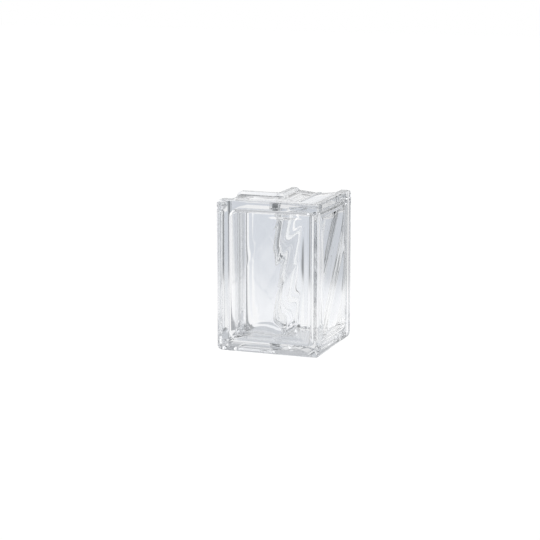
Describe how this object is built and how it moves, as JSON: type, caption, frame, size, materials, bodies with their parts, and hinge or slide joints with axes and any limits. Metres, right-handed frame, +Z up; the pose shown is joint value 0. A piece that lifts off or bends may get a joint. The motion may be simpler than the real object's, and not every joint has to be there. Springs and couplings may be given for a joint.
{
  "type": "glass block",
  "caption": "Hollow clear glass block for the corner of a wall: two legs at a right angle, wavy inside, with a mortar channel round its edges.",
  "frame": {"origin": "bottom centre of the bounding box, on the level of the bottom rims", "axes": "+Z up along the block's height; the front leg's outer face looks to -Y and the side leg's outer face looks to +X, so the outer corner edge is at +X -Y"},
  "size_m": [0.132, 0.132, 0.19],
  "materials": {
    "glass": "clear and smooth, with wave relief on the inner side"
  },
  "bodies": {
    "root": {"glass_block": "glass"}
  },
  "joints": []
}
